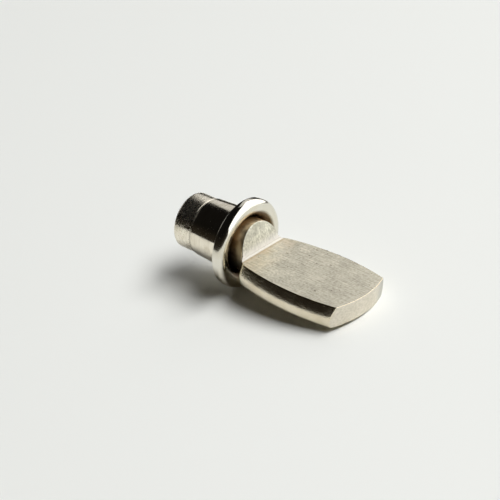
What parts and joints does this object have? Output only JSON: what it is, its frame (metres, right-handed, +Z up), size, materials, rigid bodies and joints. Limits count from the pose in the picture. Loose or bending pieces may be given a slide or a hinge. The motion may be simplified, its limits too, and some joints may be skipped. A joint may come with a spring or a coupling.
{
  "type": "shelf support pin with sleeve",
  "caption": "Spade-ended shelf support pin turning in a tapered, curl-rimmed press-in sleeve; a flat seat with a leaning shoulder carries the shelf.",
  "frame": {"origin": "on the axis that the sleeve and the pin share, in the plane where the sleeve's rim bears on the panel's face", "axes": "+X out of the panel along the axis, towards the seat's tip; +Z up, square to the seat that carries the shelf; Y across the seat"},
  "size_m": [0.0277, 0.0118, 0.0116],
  "materials": {
    "polished_nickel": "polished nickel plate on drawn sheet",
    "satin_nickel": "nickel plate, milled satin on the seat, shoulder and tip, polished on the sides and underside"
  },
  "bodies": {
    "sleeve": {"sleeve": "polished_nickel"},
    "pin": {"shelf_pin": "satin_nickel"}
  },
  "joints": [
    {"name": "pin_turn", "type": "hinge", "parent": "sleeve", "child": "pin", "pos_m": [0, 0, 0], "axis": [1, 0, 0], "continuous": true}
  ]
}
